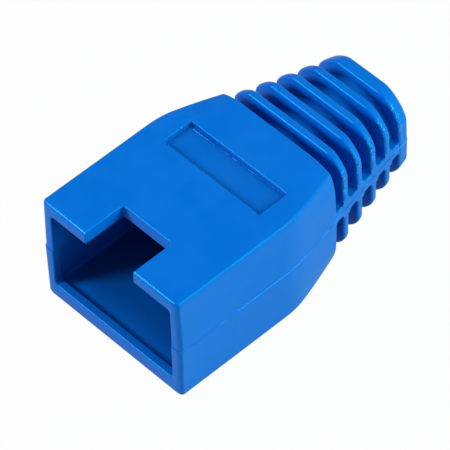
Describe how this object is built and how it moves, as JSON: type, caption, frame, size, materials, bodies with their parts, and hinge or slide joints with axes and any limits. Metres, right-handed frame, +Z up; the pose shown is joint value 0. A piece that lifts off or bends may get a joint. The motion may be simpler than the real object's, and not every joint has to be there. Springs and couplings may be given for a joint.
{
  "type": "rj45 strain relief boot",
  "caption": "Soft slip-on boot for a modular data plug: open box mouth with a latch notch, tapering into a ribbed tail that bends with the cable.",
  "frame": {"origin": "under the middle of the boot's length, on its flat base", "axes": "+X from the open plug mouth along the cable to the tail end, +Z up from the flat base to the side with the latch notch"},
  "size_m": [0.0252, 0.014, 0.0098],
  "materials": {
    "soft_pvc": "satin moulded soft PVC, blue through and through"
  },
  "bodies": {
    "root": {"strain_relief_boot": "soft_pvc"}
  },
  "joints": []
}
